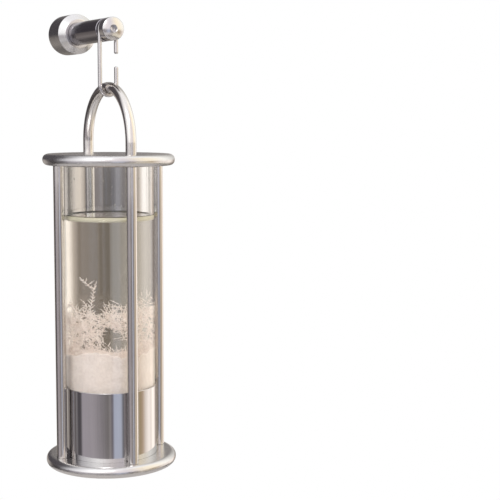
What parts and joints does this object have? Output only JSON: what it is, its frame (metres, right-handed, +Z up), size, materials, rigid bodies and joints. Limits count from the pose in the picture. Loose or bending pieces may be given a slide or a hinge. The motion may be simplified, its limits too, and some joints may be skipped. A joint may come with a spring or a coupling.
{
  "type": "hanging storm glass",
  "caption": "Storm glass: a sealed weather tube with crystals in a polished steel cage, hung by its bail and an open link from a wall peg.",
  "frame": {"origin": "centre of the wall flange's rear face, on the wall", "axes": "+Z up, +Y into the wall, -Y out along the peg, +X to the right seen from the front"},
  "size_m": [0.1, 0.168, 0.3484],
  "materials": {
    "turned_steel": "turned and satin-polished stainless steel",
    "zinc_steel": "zinc-plated steel",
    "steel_wire": "drawn stainless steel wire",
    "polished_steel": "polished stainless steel",
    "soft_pad": "soft translucent silicone",
    "clear_glass": "clear borosilicate glass",
    "storm_liquid": "clear liquid, slightly brown",
    "camphor_crystals": "fine cream-white crystals"
  },
  "bodies": {
    "wall_peg": {"wall_flange": "turned_steel", "peg_arm": "turned_steel", "nose_cap": "turned_steel", "wall_stud": "zinc_steel"},
    "hook": {"hook_link": "steel_wire"},
    "storm_glass": {"bail": "polished_steel", "top_plate": "polished_steel", "base_plate": "polished_steel", "post_left": "polished_steel", "post_right": "polished_steel", "post_front": "polished_steel", "post_rear": "polished_steel", "top_plate_screws": "polished_steel", "base_plate_screws": "polished_steel", "base_cup": "polished_steel", "cup_pad": "soft_pad", "top_seal": "soft_pad", "glass_vessel": "clear_glass", "storm_liquid": "storm_liquid", "crystal_bed": "camphor_crystals", "fern_crystals": "camphor_crystals"}
  },
  "joints": [
    {"name": "link_swing", "type": "hinge", "parent": "wall_peg", "child": "hook", "pos_m": [0, -0.084, 0], "axis": [0, 1, 0], "range_deg": [-30, 30]},
    {"name": "cage_swing", "type": "hinge", "parent": "hook", "child": "storm_glass", "pos_m": [0, -0.084, -0.04895], "axis": [1, 0, 0], "range_deg": [-30, 6.5]}
  ]
}
